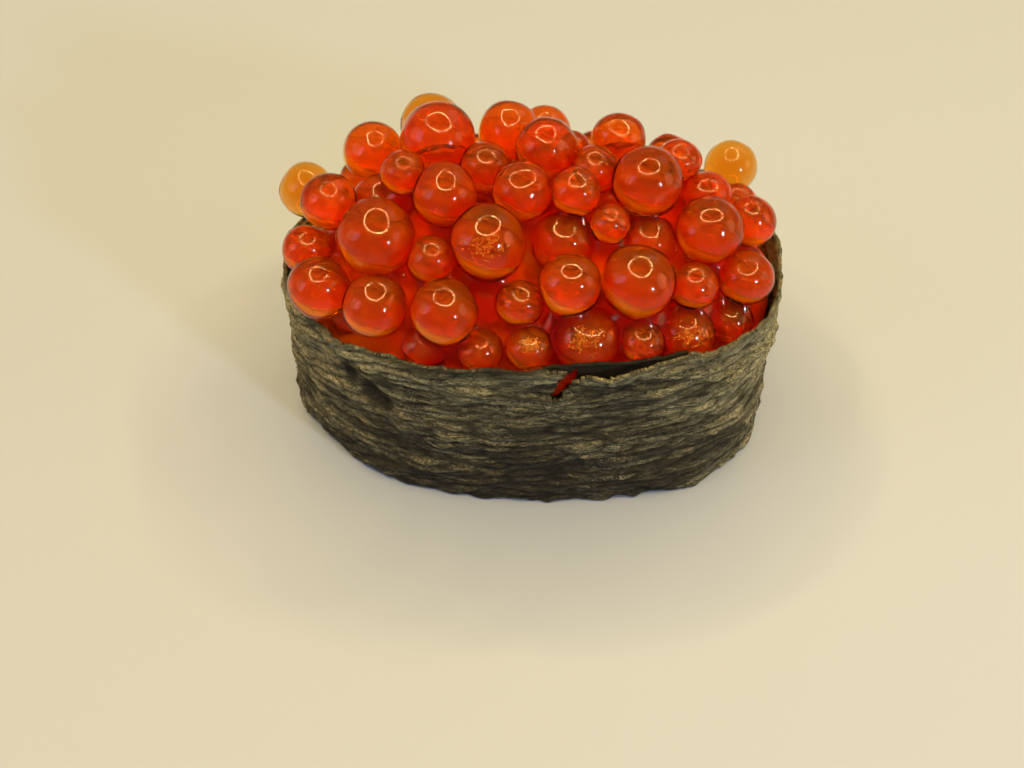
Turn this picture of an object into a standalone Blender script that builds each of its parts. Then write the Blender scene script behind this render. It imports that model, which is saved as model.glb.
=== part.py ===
"""Salmon roe sushi: a heap of roe on pressed rice, held by an upright band of dried seaweed.

Sizes are in millimetres and the scene is in metres. +X is the long way, -Y is the torn side of the
band, +Z is up, and the origin is on the ground under the middle of the band.
"""
import math
import random

import bmesh
import bpy
import numpy as np
from mathutils import Matrix

MM = 0.001
OBJECT_NAME = "salmon_roe_sushi"

# Gap that touching pieces keep
GAP = 0.3

# Band of seaweed: an upright strip bent round the rice, its ends lapped at the back
BAND_LENGTH = 48.0
BAND_WIDTH = 31.0
BAND_RIM = 19.3
RIM_TILT = 1.1
RIM_HIGHEST_TURN = 5.76
BAND_FOOT = 0.4
BAND_THICKNESS = 0.5
LAP_WIDTH = 8.0
LAP_RAMP = 5.0
LAP_STEP = BAND_THICKNESS + 0.35
LAP_START = 27.0
CORNER_SQUARENESS = {"back_right": 2.6, "back_left": 2.3, "front_left": 2.1, "front_right": 2.8}
PRESSED_CORNER = 0.4
PRESSED_CORNER_AT = 76.0
PRESSED_CORNER_WIDTH = 6.0
# Waves are cycles round the band, phase and share; those of the wall also lean, in radians a millimetre up
RIM_WAVE = 0.25
RIM_WAVES = ((3, 0.4, 0.6), (8, 2.0, 0.4))
WALL_WAVE = 0.13
WALL_WAVES = ((9, 0.0, 0.25, 0.6), (17, 1.0, -0.4, 0.4))
BAND_COLUMNS = 104
BAND_ROWS = 3

# Tear in the rim: leaning notch on the front
TEAR_TIP = (1.4, 16.0)
TEAR_MOUTH = (2.7, 6.7)
TEAR_MOUTH_HEIGHT = 20.0
TEAR_TIP_WIDTH = 0.1
TEAR_CUT_HEIGHT = 23.0
TEAR_CUT_DEPTH = 8.0

# Rice: pressed block with its grains showing underneath
RICE_TOP = 12.5
RICE_FACE = 0.9
GRAIN_LENGTH = 5.4
GRAIN_WIDTH = 2.7
GRAIN_THICKNESS = 2.3
GRAIN_PITCH = 5.3
GRAIN_ROW_PITCH = 3.8
GRAIN_JITTER = 1.2
GRAIN_TILT = 0.18
GRAIN_SINK = 0.35
RICE_SIDES = 72
FLOOR_CUT_DEPTH = 10.0

# Roe: core with the eggs that show fused on. Its top is the juice between them, which each egg holds up
# nearly to its middle, and which stays this far below the rim at the band and climbs inwards from there
CORE_BOTTOM = RICE_TOP + GAP
CORE_DROP = 0.05
CORE_BLEND = 3.0
CORE_BELOW_RIM = 0.9
CORE_CLIMB = 1.8
CORE_SIDES = 56
CORE_RINGS = 11

# Heap of roe: crest height, where the crest runs, and how fast it falls to each side
CREST_HEIGHT = 29.0
CREST_Y = 3.0
CREST_FALL = 0.0375
END_FALL = 5.5
END_FALL_AT = 22.0
BACK_SLOPE_Y = 7.0
BACK_SLOPE = 1.15
ROW_BOW = 3.8
ROW_BOW_AT = 20.0

# Rows of eggs from the front rim back: y of the row, its height above the heap, x and diameter of each
EGG_ROWS = (
    (-13.3, 0.0, ((-9.8, 4.5), (-4.8, 4.3), (10.5, 4.2), (14.5, 5.8))),
    (-12.5, 0.0, ((-0.2, 4.5), (5.2, 6.7), (18.9, 4.6))),
    (-11.0, 0.0, ((-14.2, 6.0), (-8.0, 6.3))),
    (-9.9, 0.0, ((-19.6, 5.8), (-0.6, 4.5), (14.8, 4.5), (19.7, 5.2))),
    (-8.6, 0.0, ((3.2, 5.9), (9.9, 6.9))),
    (-7.3, 0.0, ((-20.8, 4.8), (-9.2, 4.5))),
    (-6.0, 0.0, ((-13.7, 7.3), (10.8, 5.6))),
    (-5.3, 0.0, ((-4.1, 7.0), (3.2, 6.1), (16.3, 6.4))),
    (-4.2, 0.0, ((20.5, 4.9),)),
    (-2.5, 0.0, ((-18.3, 5.4), (-14.2, 6.4))),
    (-1.6, 0.0, ((-7.8, 6.1), (3.8, 4.7), (16.3, 5.1))),
    (-0.8, 0.0, ((-1.1, 5.7), (10.4, 6.7))),
    (0.1, 0.0, ((-21.4, 5.3), (-11.8, 4.3))),
    (1.6, 0.0, ((-4.1, 5.1), (6.3, 4.6), (14.3, 4.3))),
    (4.4, 0.0, ((1.6, 6.0),)),
    (4.4, 1.0, ((19.7, 5.2),)),
    (5.3, 0.4, ((-15.1, 5.8), (-8.5, 7.3), (8.2, 5.2))),
    (8.8, 1.8, ((-2.0, 6.0),)),
    (11.3, 5.9, ((-9.6, 6.3),)),
    (12.0, 4.4, ((1.5, 5.4),)),
)

# Flat facets lie inside the round egg, so the corners stand a little outside it
FACET_SWELL = 1.03

# Eggs in the hollows between the rows, and down the back and ends: how deep they may lie under the heap's
# surface, those far down only beside the band, where the heap drops to the rim
FILL_SINKS = (0.4, 1.2, 2.0, 2.8, 4.0, 5.2, 6.4)
FILL_DEEP = 2.8
FILL_EDGE = 4.0
FILL_BELOW_RIM = 1.0
FILL_SINK_COST = 0.5
FILL_GRID = 0.8
FILL_SMALLEST = 3.8
FILL_SWELL = 1.15
FILL_DIAMETERS = (5.8, 4.8, 5.4, 6.2, 5.0)

# Settling: eggs in touch sink away from the viewer, who looks down at this angle, more than they spread
VIEW_ELEVATION = 50.0
EGG_SQUASH = 0.93
SETTLE_STEPS = 160
SINK = 0.3
SPREAD = 0.12
HOLD = 0.05

OUTLINE_POINTS = 360


def outline():
    """Outer face of the band in plan: points at even steps along it, and its outward normals.

    It is a superellipse whose squareness changes from quarter to quarter, and its front left corner is
    pressed in. It starts at +X and runs anticlockwise.
    """
    t = np.linspace(0, 2 * np.pi, 20000, endpoint=False)
    quarter = np.floor(t / (np.pi / 2)).astype(int) % 4
    power = np.array([CORNER_SQUARENESS[name] for name in
                      ("back_right", "back_left", "front_left", "front_right")])[quarter]
    x = BAND_LENGTH / 2 * np.sign(np.cos(t)) * np.abs(np.cos(t)) ** (2 / power)
    y = BAND_WIDTH / 2 * np.sign(np.sin(t)) * np.abs(np.sin(t)) ** (2 / power)
    points = even_steps(np.stack([x, y], axis=1), OUTLINE_POINTS)
    along = np.arange(OUTLINE_POINTS) * perimeter(points) / OUTLINE_POINTS
    press = PRESSED_CORNER * np.exp(-((along - PRESSED_CORNER_AT) / PRESSED_CORNER_WIDTH) ** 2)
    points = points - press[:, None] * outward(points)
    points = even_steps(points, OUTLINE_POINTS)
    return points, outward(points)


def perimeter(points):
    """Length round a closed loop of points."""
    return np.linalg.norm(np.roll(points, -1, axis=0) - points, axis=1).sum()


def even_steps(points, count):
    """The same closed loop, with points at even steps along it."""
    closed = np.vstack([points, points[:1]])
    along = np.concatenate([[0], np.cumsum(np.linalg.norm(np.diff(closed, axis=0), axis=1))])
    wanted = np.linspace(0, along[-1], count, endpoint=False)
    return np.stack([np.interp(wanted, along, closed[:, i]) for i in range(2)], axis=1)


def outward(points):
    """Outward unit normals of an anticlockwise loop."""
    tangent = np.roll(points, -1, axis=0) - np.roll(points, 1, axis=0)
    tangent /= np.linalg.norm(tangent, axis=1)[:, None]
    return np.stack([tangent[:, 1], -tangent[:, 0]], axis=1)


OUTER, NORMAL = outline()
AROUND = perimeter(OUTER)


def on_outline(along, depth):
    """Points in plan at distances along the outline, each set in from it by its depth."""
    place = np.asarray(along) / AROUND * OUTLINE_POINTS
    low = np.floor(place).astype(int)
    part = (place - low)[:, None]
    low, high = low % OUTLINE_POINTS, (low + 1) % OUTLINE_POINTS
    normal = NORMAL[low] * (1 - part) + NORMAL[high] * part
    return OUTER[low] * (1 - part) + OUTER[high] * part - np.asarray(depth)[:, None] * normal


def lap_depth(along):
    """How far the band's inner layer stands in from the outline: all of LAP_STEP under the lap."""
    past = (np.asarray(along) - LAP_START) % AROUND
    ahead = AROUND - past
    leaving = np.clip((past - LAP_WIDTH) / LAP_RAMP, 0, 1)
    coming = np.clip(ahead / LAP_RAMP, 0, 1)
    ease = np.maximum(1 - leaving * leaving * (3 - 2 * leaving), 1 - coming * coming * (3 - 2 * coming))
    return LAP_STEP * ease


def wall_wave(along, height):
    """Crinkles of the band across its face, fading to nothing where it is widest and longest."""
    turn = 2 * np.pi * along / AROUND
    return WALL_WAVE * sum(share * np.sin(cycles * turn + lean * height + phase)
                           for cycles, phase, lean, share in WALL_WAVES)


def rim_height(along):
    """Top edge of the band, highest at the front right, with a gentle wave."""
    turn = 2 * np.pi * np.asarray(along) / AROUND
    wave = sum(share * np.sin(cycles * turn + phase) for cycles, phase, share in RIM_WAVES)
    return BAND_RIM + RIM_TILT * np.cos(turn - RIM_HIGHEST_TURN) + RIM_WAVE * wave


ALONG = np.arange(OUTLINE_POINTS) * AROUND / OUTLINE_POINTS
INNER_DEPTH = BAND_THICKNESS + 2 * WALL_WAVE + lap_depth(ALONG)
INNER = on_outline(ALONG, INNER_DEPTH)
FILLING = on_outline(ALONG, INNER_DEPTH + GAP)
RIM = rim_height(ALONG)


def heap_height(x, y):
    """Height of the egg centres over a point in plan: a crest that falls to the front, back and ends."""
    fall = CREST_FALL * (y - CREST_Y) ** 2 + END_FALL * (np.abs(x) / END_FALL_AT) ** 3
    behind = y - BACK_SLOPE_Y
    return CREST_HEIGHT - fall - BACK_SLOPE / 2 * (behind + np.sqrt(behind ** 2 + 1))


def depth_inside(x, y):
    """How far points in plan lie in from the band's inner face, and which of its points is nearest."""
    apart = np.stack([x, y], axis=-1)[..., None, :] - INNER
    nearest = np.argmin(np.linalg.norm(apart, axis=-1), axis=-1)
    offset = np.stack([x, y], axis=-1) - INNER[nearest]
    return -(offset * NORMAL[nearest]).sum(axis=-1), nearest


def lay_eggs():
    """Centres and radii of the eggs that show: the rows, then an egg in each hollow that is left."""
    centres, radii = [], []
    for row_y, lift, eggs in EGG_ROWS:
        for x, diameter in eggs:
            y = row_y + ROW_BOW * (x / ROW_BOW_AT) ** 2
            centres.append((x, y, heap_height(x, y) + lift))
            radii.append(diameter / 2 * FACET_SWELL)
    return fill_hollows(settle(np.array(centres), np.array(radii)), np.array(radii))


def fill_hollows(centres, radii):
    """Add an egg in the widest hollow of the heap's surface, again and again, until none is wide enough."""
    x, y, sink = np.meshgrid(np.arange(-BAND_LENGTH / 2, BAND_LENGTH / 2, FILL_GRID),
                             np.arange(-BAND_WIDTH / 2, BAND_WIDTH / 2, FILL_GRID), FILL_SINKS)
    x, y, sink = x.ravel(), y.ravel(), sink.ravel()
    z = heap_height(x, y) - sink
    depth, nearest = depth_inside(x, y)
    free = (depth > FILL_SMALLEST / 2 + GAP) & (z > RIM[nearest] - FILL_BELOW_RIM)
    free &= (sink <= FILL_DEEP) | (depth < FILL_EDGE)
    spots = np.stack([x, y, z], axis=1)[free]
    cost = FILL_SINK_COST * sink[free]
    room = (np.linalg.norm(spots[:, None, :] - centres, axis=2) - radii).min(axis=1)
    while room.max() * FILL_SWELL > FILL_SMALLEST / 2:
        wide = room * FILL_SWELL > FILL_SMALLEST / 2
        best = np.argmax(np.where(wide, room - cost, -np.inf))
        largest = FILL_DIAMETERS[len(radii) % len(FILL_DIAMETERS)] / 2
        radius = min(room[best] * FILL_SWELL, largest)
        centres = np.vstack([centres, spots[best]])
        radii = np.append(radii, radius)
        room = np.minimum(room, np.linalg.norm(spots - spots[best], axis=1) - radius)
    return clear_of_band(centres, radii), radii


def settle(centres, radii):
    """Part the eggs that press on each other: the farther one sinks along the line of sight, both spread a
    little, and each is drawn back to its own place and kept off the band.
    """
    home = centres
    view = math.radians(VIEW_ELEVATION)
    sight = np.array([0.0, math.cos(view), -math.sin(view)])
    reach = (radii[:, None] + radii[None, :]) * EGG_SQUASH
    for _ in range(SETTLE_STEPS):
        apart = centres[:, None, :] - centres[None, :, :]
        distance = np.linalg.norm(apart, axis=2)
        np.fill_diagonal(distance, np.inf)
        press = np.clip(reach - distance, 0, None)
        farther = np.clip(apart @ sight, 0, None) / distance
        sink = (press * np.sqrt(farther)).sum(axis=1)
        spread = (apart * (press / distance)[:, :, None]).sum(axis=1)
        step = SINK * sink[:, None] * sight + SPREAD * spread + HOLD * (home - centres)
        centres = clear_of_band(centres + step, radii)
    return centres


def clear_of_band(centres, radii):
    """Move each egg off the band's inner face, or off its rim where the egg lies higher."""
    depth, nearest = depth_inside(centres[:, 0], centres[:, 1])
    above = np.maximum(centres[:, 2] - RIM[nearest], 0)
    distance = np.where(above > 0, np.hypot(depth, above), depth)
    short = np.clip(radii + GAP - distance, 0, None)
    share = np.where(above > 0, np.abs(depth) / np.maximum(distance, 1e-6), 1.0)
    moved = centres.copy()
    moved[:, :2] -= (short * share)[:, None] * NORMAL[nearest]
    moved[:, 2] += short * np.sqrt(1 - share ** 2)
    return moved


def collection_for(name, shown):
    """A new collection under the scene's own."""
    made = bpy.data.collections.new(name)
    bpy.context.scene.collection.children.link(made)
    made.hide_render = not shown
    return made


def object_from(bm, name, collection):
    """Turn a bmesh in millimetres into an object in metres."""
    bmesh.ops.scale(bm, vec=(MM, MM, MM), verts=bm.verts)
    mesh = bpy.data.meshes.new(name)
    bm.to_mesh(mesh)
    bm.free()
    made = bpy.data.objects.new(name, mesh)
    collection.objects.link(made)
    return made


def material(name, colour, roughness):
    """A Principled material with one colour."""
    made = bpy.data.materials.new(name)
    made.use_nodes = True
    shader = made.node_tree.nodes["Principled BSDF"]
    shader.inputs["Base Color"].default_value = (*colour, 1.0)
    shader.inputs["Roughness"].default_value = roughness
    return made


def bake_modifiers(piece):
    """Replace a piece's mesh by what its modifiers make of it."""
    graph = bpy.context.evaluated_depsgraph_get()
    baked = bpy.data.meshes.new_from_object(piece.evaluated_get(graph))
    piece.modifiers.clear()
    old, piece.data = piece.data, baked
    bpy.data.meshes.remove(old)


def empty_collection(collection):
    """Remove a collection with all its objects."""
    for piece in list(collection.objects):
        bpy.data.objects.remove(piece)
    bpy.data.collections.remove(collection)


def keep_largest_shell(piece):
    """Drop loose scraps and the walls of sealed hollows, so that one closed body is left."""
    bm = bmesh.new()
    bm.from_mesh(piece.data)
    seen, shells = set(), []
    for face in bm.faces:
        if face in seen:
            continue
        shell, waiting = [], [face]
        seen.add(face)
        while waiting:
            current = waiting.pop()
            shell.append(current)
            for edge in current.edges:
                for other in edge.link_faces:
                    if other not in seen:
                        seen.add(other)
                        waiting.append(other)
        shells.append(shell)
    shells.sort(key=lambda shell: sum(face.calc_area() for face in shell))
    for shell in shells[:-1]:
        bmesh.ops.delete(bm, geom=shell, context="FACES")
    bmesh.ops.triangulate(bm, faces=bm.faces)
    bm.to_mesh(piece.data)
    bm.free()


def fuse(piece, additions):
    """Join a collection of pieces to one piece, and remove the collection."""
    union = piece.modifiers.new("fuse", "BOOLEAN")
    union.operation = "UNION"
    union.operand_type = "COLLECTION"
    union.collection = additions
    bake_modifiers(piece)
    empty_collection(additions)
    keep_largest_shell(piece)


def shade_round(piece, sharp_angle):
    """Smooth shading, with edges sharper than the angle kept crisp."""
    piece.data.shade_smooth()
    piece.data.set_sharp_from_angle(angle=math.radians(sharp_angle))


def make_nori(parts, cutters):
    """Strip of seaweed bent round the outline, its ends lapped at the back, with a tear in its rim."""
    bm = bmesh.new()
    bmesh.ops.create_grid(bm, x_segments=BAND_COLUMNS, y_segments=BAND_ROWS, size=1.0)
    share = np.array([vertex.co[:2] for vertex in bm.verts]) / 2 + 0.5
    strip = share[:, 0] * (AROUND + LAP_WIDTH)
    along = (LAP_START + strip) % AROUND
    inner_layer = strip < LAP_WIDTH + LAP_RAMP
    height = BAND_FOOT + share[:, 1] * (rim_height(along) - BAND_FOOT)
    fade = np.clip(strip / LAP_WIDTH - 1, 0, 1) * np.clip((AROUND - strip) / LAP_WIDTH, 0, 1)
    depth = np.where(inner_layer, lap_depth(along), 0.0) + WALL_WAVE - fade * wall_wave(along, height)
    plan = on_outline(along, depth)
    for vertex, (x, y), z in zip(bm.verts, plan, height):
        vertex.co = (x, y, z)
    nori = object_from(bm, "nori", parts)
    wall = nori.modifiers.new("thickness", "SOLIDIFY")
    wall.thickness = BAND_THICKNESS * MM
    wall.offset = -1.0
    tear = nori.modifiers.new("tear", "BOOLEAN")
    tear.operation = "DIFFERENCE"
    tear.object = make_tear(cutters)
    shade_round(nori, 40)
    nori.data.materials.append(material("nori_green_black", (0.030, 0.030, 0.016), 0.55))
    return nori


def make_tear(cutters):
    """Leaning wedge through the front wall: a cube whose foot is drawn to an edge at the tear's tip."""
    bm = bmesh.new()
    bmesh.ops.create_cube(bm, size=1.0)
    lean = (TEAR_CUT_HEIGHT - TEAR_TIP[1]) / (TEAR_MOUTH_HEIGHT - TEAR_TIP[1])
    left, right = (TEAR_TIP[0] + (mouth - TEAR_TIP[0]) * lean for mouth in TEAR_MOUTH)
    for vertex in bm.verts:
        y = vertex.co.y * TEAR_CUT_DEPTH - BAND_WIDTH / 2
        if vertex.co.z > 0:
            vertex.co = (left if vertex.co.x < 0 else right, y, TEAR_CUT_HEIGHT)
        else:
            vertex.co = (TEAR_TIP[0] + vertex.co.x * TEAR_TIP_WIDTH, y, TEAR_TIP[1])
    cutter = object_from(bm, "tear_cutter", cutters)
    cutter.display_type = "WIRE"
    cutter.hide_render = True
    return cutter


def loft(sections):
    """Closed solid through loops of points: walls between loops, and a fan of faces at each end."""
    bm = bmesh.new()
    rings = [[bm.verts.new(point) for point in section] for section in sections]
    for low, high in zip(rings, rings[1:]):
        for index in range(len(low)):
            after = (index + 1) % len(low)
            bm.faces.new((low[index], low[after], high[after], high[index]))
    for ring, flip in ((rings[0], True), (rings[-1], False)):
        middle = bm.verts.new(np.mean([vertex.co for vertex in ring], axis=0))
        for index in range(len(ring)):
            pair = (ring[index], ring[(index + 1) % len(ring)])
            bm.faces.new((*(reversed(pair) if flip else pair), middle))
    return bm


def filling_loop(sides, scale):
    """Plan of the space inside the band, as evenly spaced points, drawn in towards the middle."""
    return even_steps(FILLING, sides) * scale


def core_height(spots, centres, radii):
    """Top of the core over points in plan: each egg holds up a cap, a paraboloid that bends like the egg, and the
    caps run together as log(sum(exp(k z))) / k. Beside the band the core stays under the rim.
    """
    flat = ((spots[:, None, :] - centres[:, :2]) ** 2).sum(axis=2)
    caps = centres[:, 2] - CORE_DROP * radii - flat / (2 * radii)
    highest = caps.max(axis=1)
    height = highest + np.log(np.exp(CORE_BLEND * (caps - highest[:, None])).sum(axis=1)) / CORE_BLEND
    depth, nearest = depth_inside(spots[:, 0], spots[:, 1])
    return np.minimum(height, RIM[nearest] - CORE_BELOW_RIM + CORE_CLIMB * (depth - GAP))


def make_rice(parts, cutters):
    """Pressed rice: a block that fills the band's foot, with the grains that show on its underside.

    The grain at the middle lies level and straight, so that the piece has a flat at its origin.
    """
    loop = filling_loop(RICE_SIDES, 1.0)
    sections = [[(x, y, z) for x, y in loop] for z in (RICE_FACE, RICE_TOP)]
    rice = object_from(loft(sections), "rice", parts)
    grains = collection_for("grains", False)
    draw = random.Random(5)
    rows = int(BAND_WIDTH / 2 / GRAIN_ROW_PITCH) + 1
    columns = int(BAND_LENGTH / 2 / GRAIN_PITCH) + 1
    for row in range(-rows, rows + 1):
        for column in range(-columns, columns + 1):
            loose = 0.0 if row == 0 and column == 0 else 1.0
            x = (column + 0.5 * (row % 2)) * GRAIN_PITCH + loose * draw.uniform(-GRAIN_JITTER, GRAIN_JITTER)
            y = row * GRAIN_ROW_PITCH + loose * draw.uniform(-GRAIN_JITTER, GRAIN_JITTER)
            turn = draw.uniform(0, math.pi)
            tilt = loose * draw.uniform(-GRAIN_TILT, GRAIN_TILT)
            if depth_inside(np.array(x), np.array(y))[0] > GRAIN_LENGTH / 2 + GAP:
                make_grain(grains, x, y, turn, tilt)
    fuse(rice, grains)
    floor = make_floor_cutter(cutters)
    trim = rice.modifiers.new("trim", "BOOLEAN")
    trim.operation = "DIFFERENCE"
    trim.object = floor
    bake_modifiers(rice)
    keep_largest_shell(rice)
    rice.data.materials.clear()
    rice.data.materials.append(material("cooked_rice_white", (0.80, 0.78, 0.70), 0.45))
    shade_round(rice, 50)
    return rice


def make_grain(grains, x, y, turn, tilt):
    """One plump grain, lying half in the block's underside."""
    bm = bmesh.new()
    bmesh.ops.create_uvsphere(bm, u_segments=6, v_segments=3, radius=0.5)
    shape = Matrix.Diagonal((GRAIN_WIDTH, GRAIN_THICKNESS, GRAIN_LENGTH, 1))
    place = (Matrix.Translation((x, y, RICE_FACE - GRAIN_SINK)) @ Matrix.Rotation(turn, 4, "Z")
             @ Matrix.Rotation(math.pi / 2 + tilt, 4, "X"))
    bmesh.ops.transform(bm, matrix=place @ shape, verts=bm.verts)
    object_from(bm, "grain", grains)


def make_floor_cutter(cutters):
    """Box below the ground: it trims the lowest grains flat, as they are pressed on what they stand on."""
    bm = bmesh.new()
    bmesh.ops.create_cube(bm, size=1.0)
    bmesh.ops.transform(bm, verts=bm.verts, matrix=Matrix.Translation((0, 0, -FLOOR_CUT_DEPTH / 2))
                        @ Matrix.Diagonal((2 * BAND_LENGTH, 2 * BAND_WIDTH, FLOOR_CUT_DEPTH, 1)))
    cutter = object_from(bm, "floor_cutter", cutters)
    cutter.display_type = "WIRE"
    cutter.hide_render = True
    return cutter


def make_roe(parts):
    """Heap of roe: a domed core on the rice, with the eggs that show fused on."""
    centres, radii = lay_eggs()
    sections = [[(x, y, CORE_BOTTOM) for x, y in filling_loop(CORE_SIDES, 1.0)]]
    for ring in range(CORE_RINGS, 0, -1):
        loop = filling_loop(CORE_SIDES, ring / CORE_RINGS)
        sections.append(np.column_stack([loop, core_height(loop, centres, radii)]))
    roe = object_from(loft(sections), "roe", parts)
    eggs = collection_for("eggs", False)
    for centre, radius in zip(centres, radii):
        bm = bmesh.new()
        bmesh.ops.create_icosphere(bm, subdivisions=2, radius=radius)
        bmesh.ops.translate(bm, vec=centre, verts=bm.verts)
        object_from(bm, "egg", eggs)
    fuse(roe, eggs)
    roe.data.materials.clear()
    roe.data.materials.append(material("roe_orange_red", (0.62, 0.045, 0.005), 0.12))
    shade_round(roe, 35)
    return roe


def main():
    for old in list(bpy.data.objects):
        bpy.data.objects.remove(old)
    parts = collection_for(OBJECT_NAME, True)
    cutters = collection_for("cutters", False)
    make_nori(parts, cutters)
    make_rice(parts, cutters)
    make_roe(parts)


main()
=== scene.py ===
"""Looks of one piece of salmon roe sushi: pressed rice, a band of dried seaweed and a heap of roe.

Lengths are in millimetres and are turned to metres when a mesh is made. +X is the long way, -Y is the
torn side, +Z is up, and the origin is on the ground under the middle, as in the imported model.
"""

import bpy
import numpy as np
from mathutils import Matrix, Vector


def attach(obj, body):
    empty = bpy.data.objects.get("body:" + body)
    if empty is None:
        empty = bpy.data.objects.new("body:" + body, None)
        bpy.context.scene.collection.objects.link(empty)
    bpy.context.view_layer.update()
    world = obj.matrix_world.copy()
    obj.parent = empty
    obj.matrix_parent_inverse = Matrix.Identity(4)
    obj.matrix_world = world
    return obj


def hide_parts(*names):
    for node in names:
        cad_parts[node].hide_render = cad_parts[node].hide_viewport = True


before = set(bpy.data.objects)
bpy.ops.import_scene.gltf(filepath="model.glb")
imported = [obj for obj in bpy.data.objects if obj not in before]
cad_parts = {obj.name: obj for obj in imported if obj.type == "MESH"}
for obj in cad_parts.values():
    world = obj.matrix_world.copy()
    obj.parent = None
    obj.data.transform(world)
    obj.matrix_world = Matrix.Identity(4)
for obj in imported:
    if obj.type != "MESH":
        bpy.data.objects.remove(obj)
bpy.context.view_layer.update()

# Pressed rice
# A block of cooked short-grain rice, pressed by hand, 12.5 mm high. It fills the band, 48 x 31 mm in plan,
# and bears all the rest. Its grains are 5.4 mm long, moist and slightly clear, and show only from beneath.

BAND_LENGTH = 48.0
BAND_WIDTH = 31.0
CORNER_SQUARENESS = (2.6, 2.3, 2.1, 2.8)
PRESSED_CORNER = 0.4
PRESSED_CORNER_AT = 76.0
PRESSED_CORNER_WIDTH = 6.0
PLAN_POINTS = 360


def steps_round(points, count):
    """The same closed loop of points, resampled at even distances along it."""
    closed = np.vstack([points, points[:1]])
    along = np.concatenate([[0], np.cumsum(np.linalg.norm(np.diff(closed, axis=0), axis=1))])
    wanted = np.linspace(0, along[-1], count, endpoint=False)
    return np.stack([np.interp(wanted, along, closed[:, i]) for i in range(2)], axis=1)


def way_out(points):
    """Outward unit normals of an anticlockwise loop: its tangent turned clockwise by a quarter."""
    tangent = np.roll(points, -1, axis=0) - np.roll(points, 1, axis=0)
    tangent /= np.linalg.norm(tangent, axis=1)[:, None]
    return np.stack([tangent[:, 1], -tangent[:, 0]], axis=1)


def length_round(points):
    """Length round a closed loop of points."""
    return np.linalg.norm(np.roll(points, -1, axis=0) - points, axis=1).sum()


def band_plan():
    """Plan of the band: a superellipse x = a |cos t|^(2/n), y = b |sin t|^(2/n), with its own n in each
    quarter, and its front left corner pressed in by a bell curve.
    """
    t = np.linspace(0, 2 * np.pi, 20000, endpoint=False)
    power = np.array(CORNER_SQUARENESS)[np.floor(t / (np.pi / 2)).astype(int) % 4]
    x = BAND_LENGTH / 2 * np.sign(np.cos(t)) * np.abs(np.cos(t)) ** (2 / power)
    y = BAND_WIDTH / 2 * np.sign(np.sin(t)) * np.abs(np.sin(t)) ** (2 / power)
    points = steps_round(np.stack([x, y], axis=1), PLAN_POINTS)
    along = np.arange(PLAN_POINTS) * length_round(points) / PLAN_POINTS
    press = PRESSED_CORNER * np.exp(-((along - PRESSED_CORNER_AT) / PRESSED_CORNER_WIDTH) ** 2)
    points = steps_round(points - press[:, None] * way_out(points), PLAN_POINTS)
    return points, way_out(points)


PLAN, PLAN_OUT = band_plan()
AROUND = length_round(PLAN)
PLAN_ALONG = np.arange(PLAN_POINTS) * AROUND / PLAN_POINTS


def on_plan(along, depth):
    """Points in plan at distances along the band, each set in from its outline by its depth."""
    place = np.asarray(along) / AROUND * PLAN_POINTS
    low = np.floor(place).astype(int)
    part = (place - low)[..., None]
    low, high = low % PLAN_POINTS, (low + 1) % PLAN_POINTS
    out = PLAN_OUT[low] * (1 - part) + PLAN_OUT[high] * part
    return PLAN[low] * (1 - part) + PLAN[high] * part - np.asarray(depth)[..., None] * out


def depth_in(spots, loop):
    """How far spots in plan lie in from a loop that follows the band, and which of its points is nearest."""
    nearest = np.argmin(np.linalg.norm(spots[..., None, :] - loop, axis=-1), axis=-1)
    return -((spots - loop[nearest]) * PLAN_OUT[nearest]).sum(axis=-1), nearest


def piece_from(name, corners, faces, finish):
    """A smooth-shaded object from corner points in millimetres and arrays of faces."""
    mesh = bpy.data.meshes.new(name)
    mesh.from_pydata((corners * 0.001).tolist(), [], [face for group in faces for face in group.tolist()])
    mesh.update()
    mesh.shade_smooth()
    mesh.materials.append(finish)
    piece = bpy.data.objects.new(name, mesh)
    bpy.context.scene.collection.objects.link(piece)
    return piece


def tone(hex_colour):
    """Linear colour of an sRGB hex value: each channel c becomes c / 12.92 or ((c + 0.055) / 1.055) ^ 2.4."""
    channels = [int(hex_colour[i:i + 2], 16) / 255 for i in (0, 2, 4)]
    return (*(c / 12.92 if c <= 0.04045 else ((c + 0.055) / 1.055) ** 2.4 for c in channels), 1.0)


def node(tree, kind, settings=None, **links):
    """Add a node with its settings. A link's name is a socket's, with _ for a space, or _ and its number; its
    value is what the socket holds, or the output that feeds it.
    """
    made = tree.nodes.new(kind)
    for name, value in (settings or {}).items():
        setattr(made, name, value)
    for name, value in links.items():
        key = int(name[1:]) if name[1:].isdigit() else name.replace("_", " ")
        if isinstance(value, bpy.types.NodeSocket):
            tree.links.new(value, made.inputs[key])
        else:
            made.inputs[key].default_value = value
    return made


def new_finish(name):
    """An empty material and its node tree."""
    finish = bpy.data.materials.new(name)
    finish.use_nodes = True
    finish.node_tree.nodes.clear()
    return finish, finish.node_tree


RICE_TOP = 12.5
GRAIN_LENGTH = 5.4
GRAIN_WIDTH = 2.8
GRAIN_THICKNESS = 2.4
GRAIN_TAPER = 0.18
GRAIN_SIZES = (0.92, 1.08)
GRAIN_STEPS = (12, 8)

# Layers of grains: the step between grains and the height of each layer
GRAIN_LAYERS = ((3.5, 1.05), (3.3, 2.9))
GRAIN_SPACING = (1.18, 0.82)
GRAIN_STRAY = (0.7, 0.7, 0.2)
GRAIN_TILT = 0.2
GRAIN_INSET = 2.0
RIM_GRAIN_INSET = 3.4
ABOVE_GROUND = 0.02

# Sections of the block: how far each is drawn in from the band's outline, and its height
BLOCK_SECTIONS = ((3.5, 2.6), (2.6, 3.2), (2.4, 4.4), (2.4, 11.4), (3.0, RICE_TOP))


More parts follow.
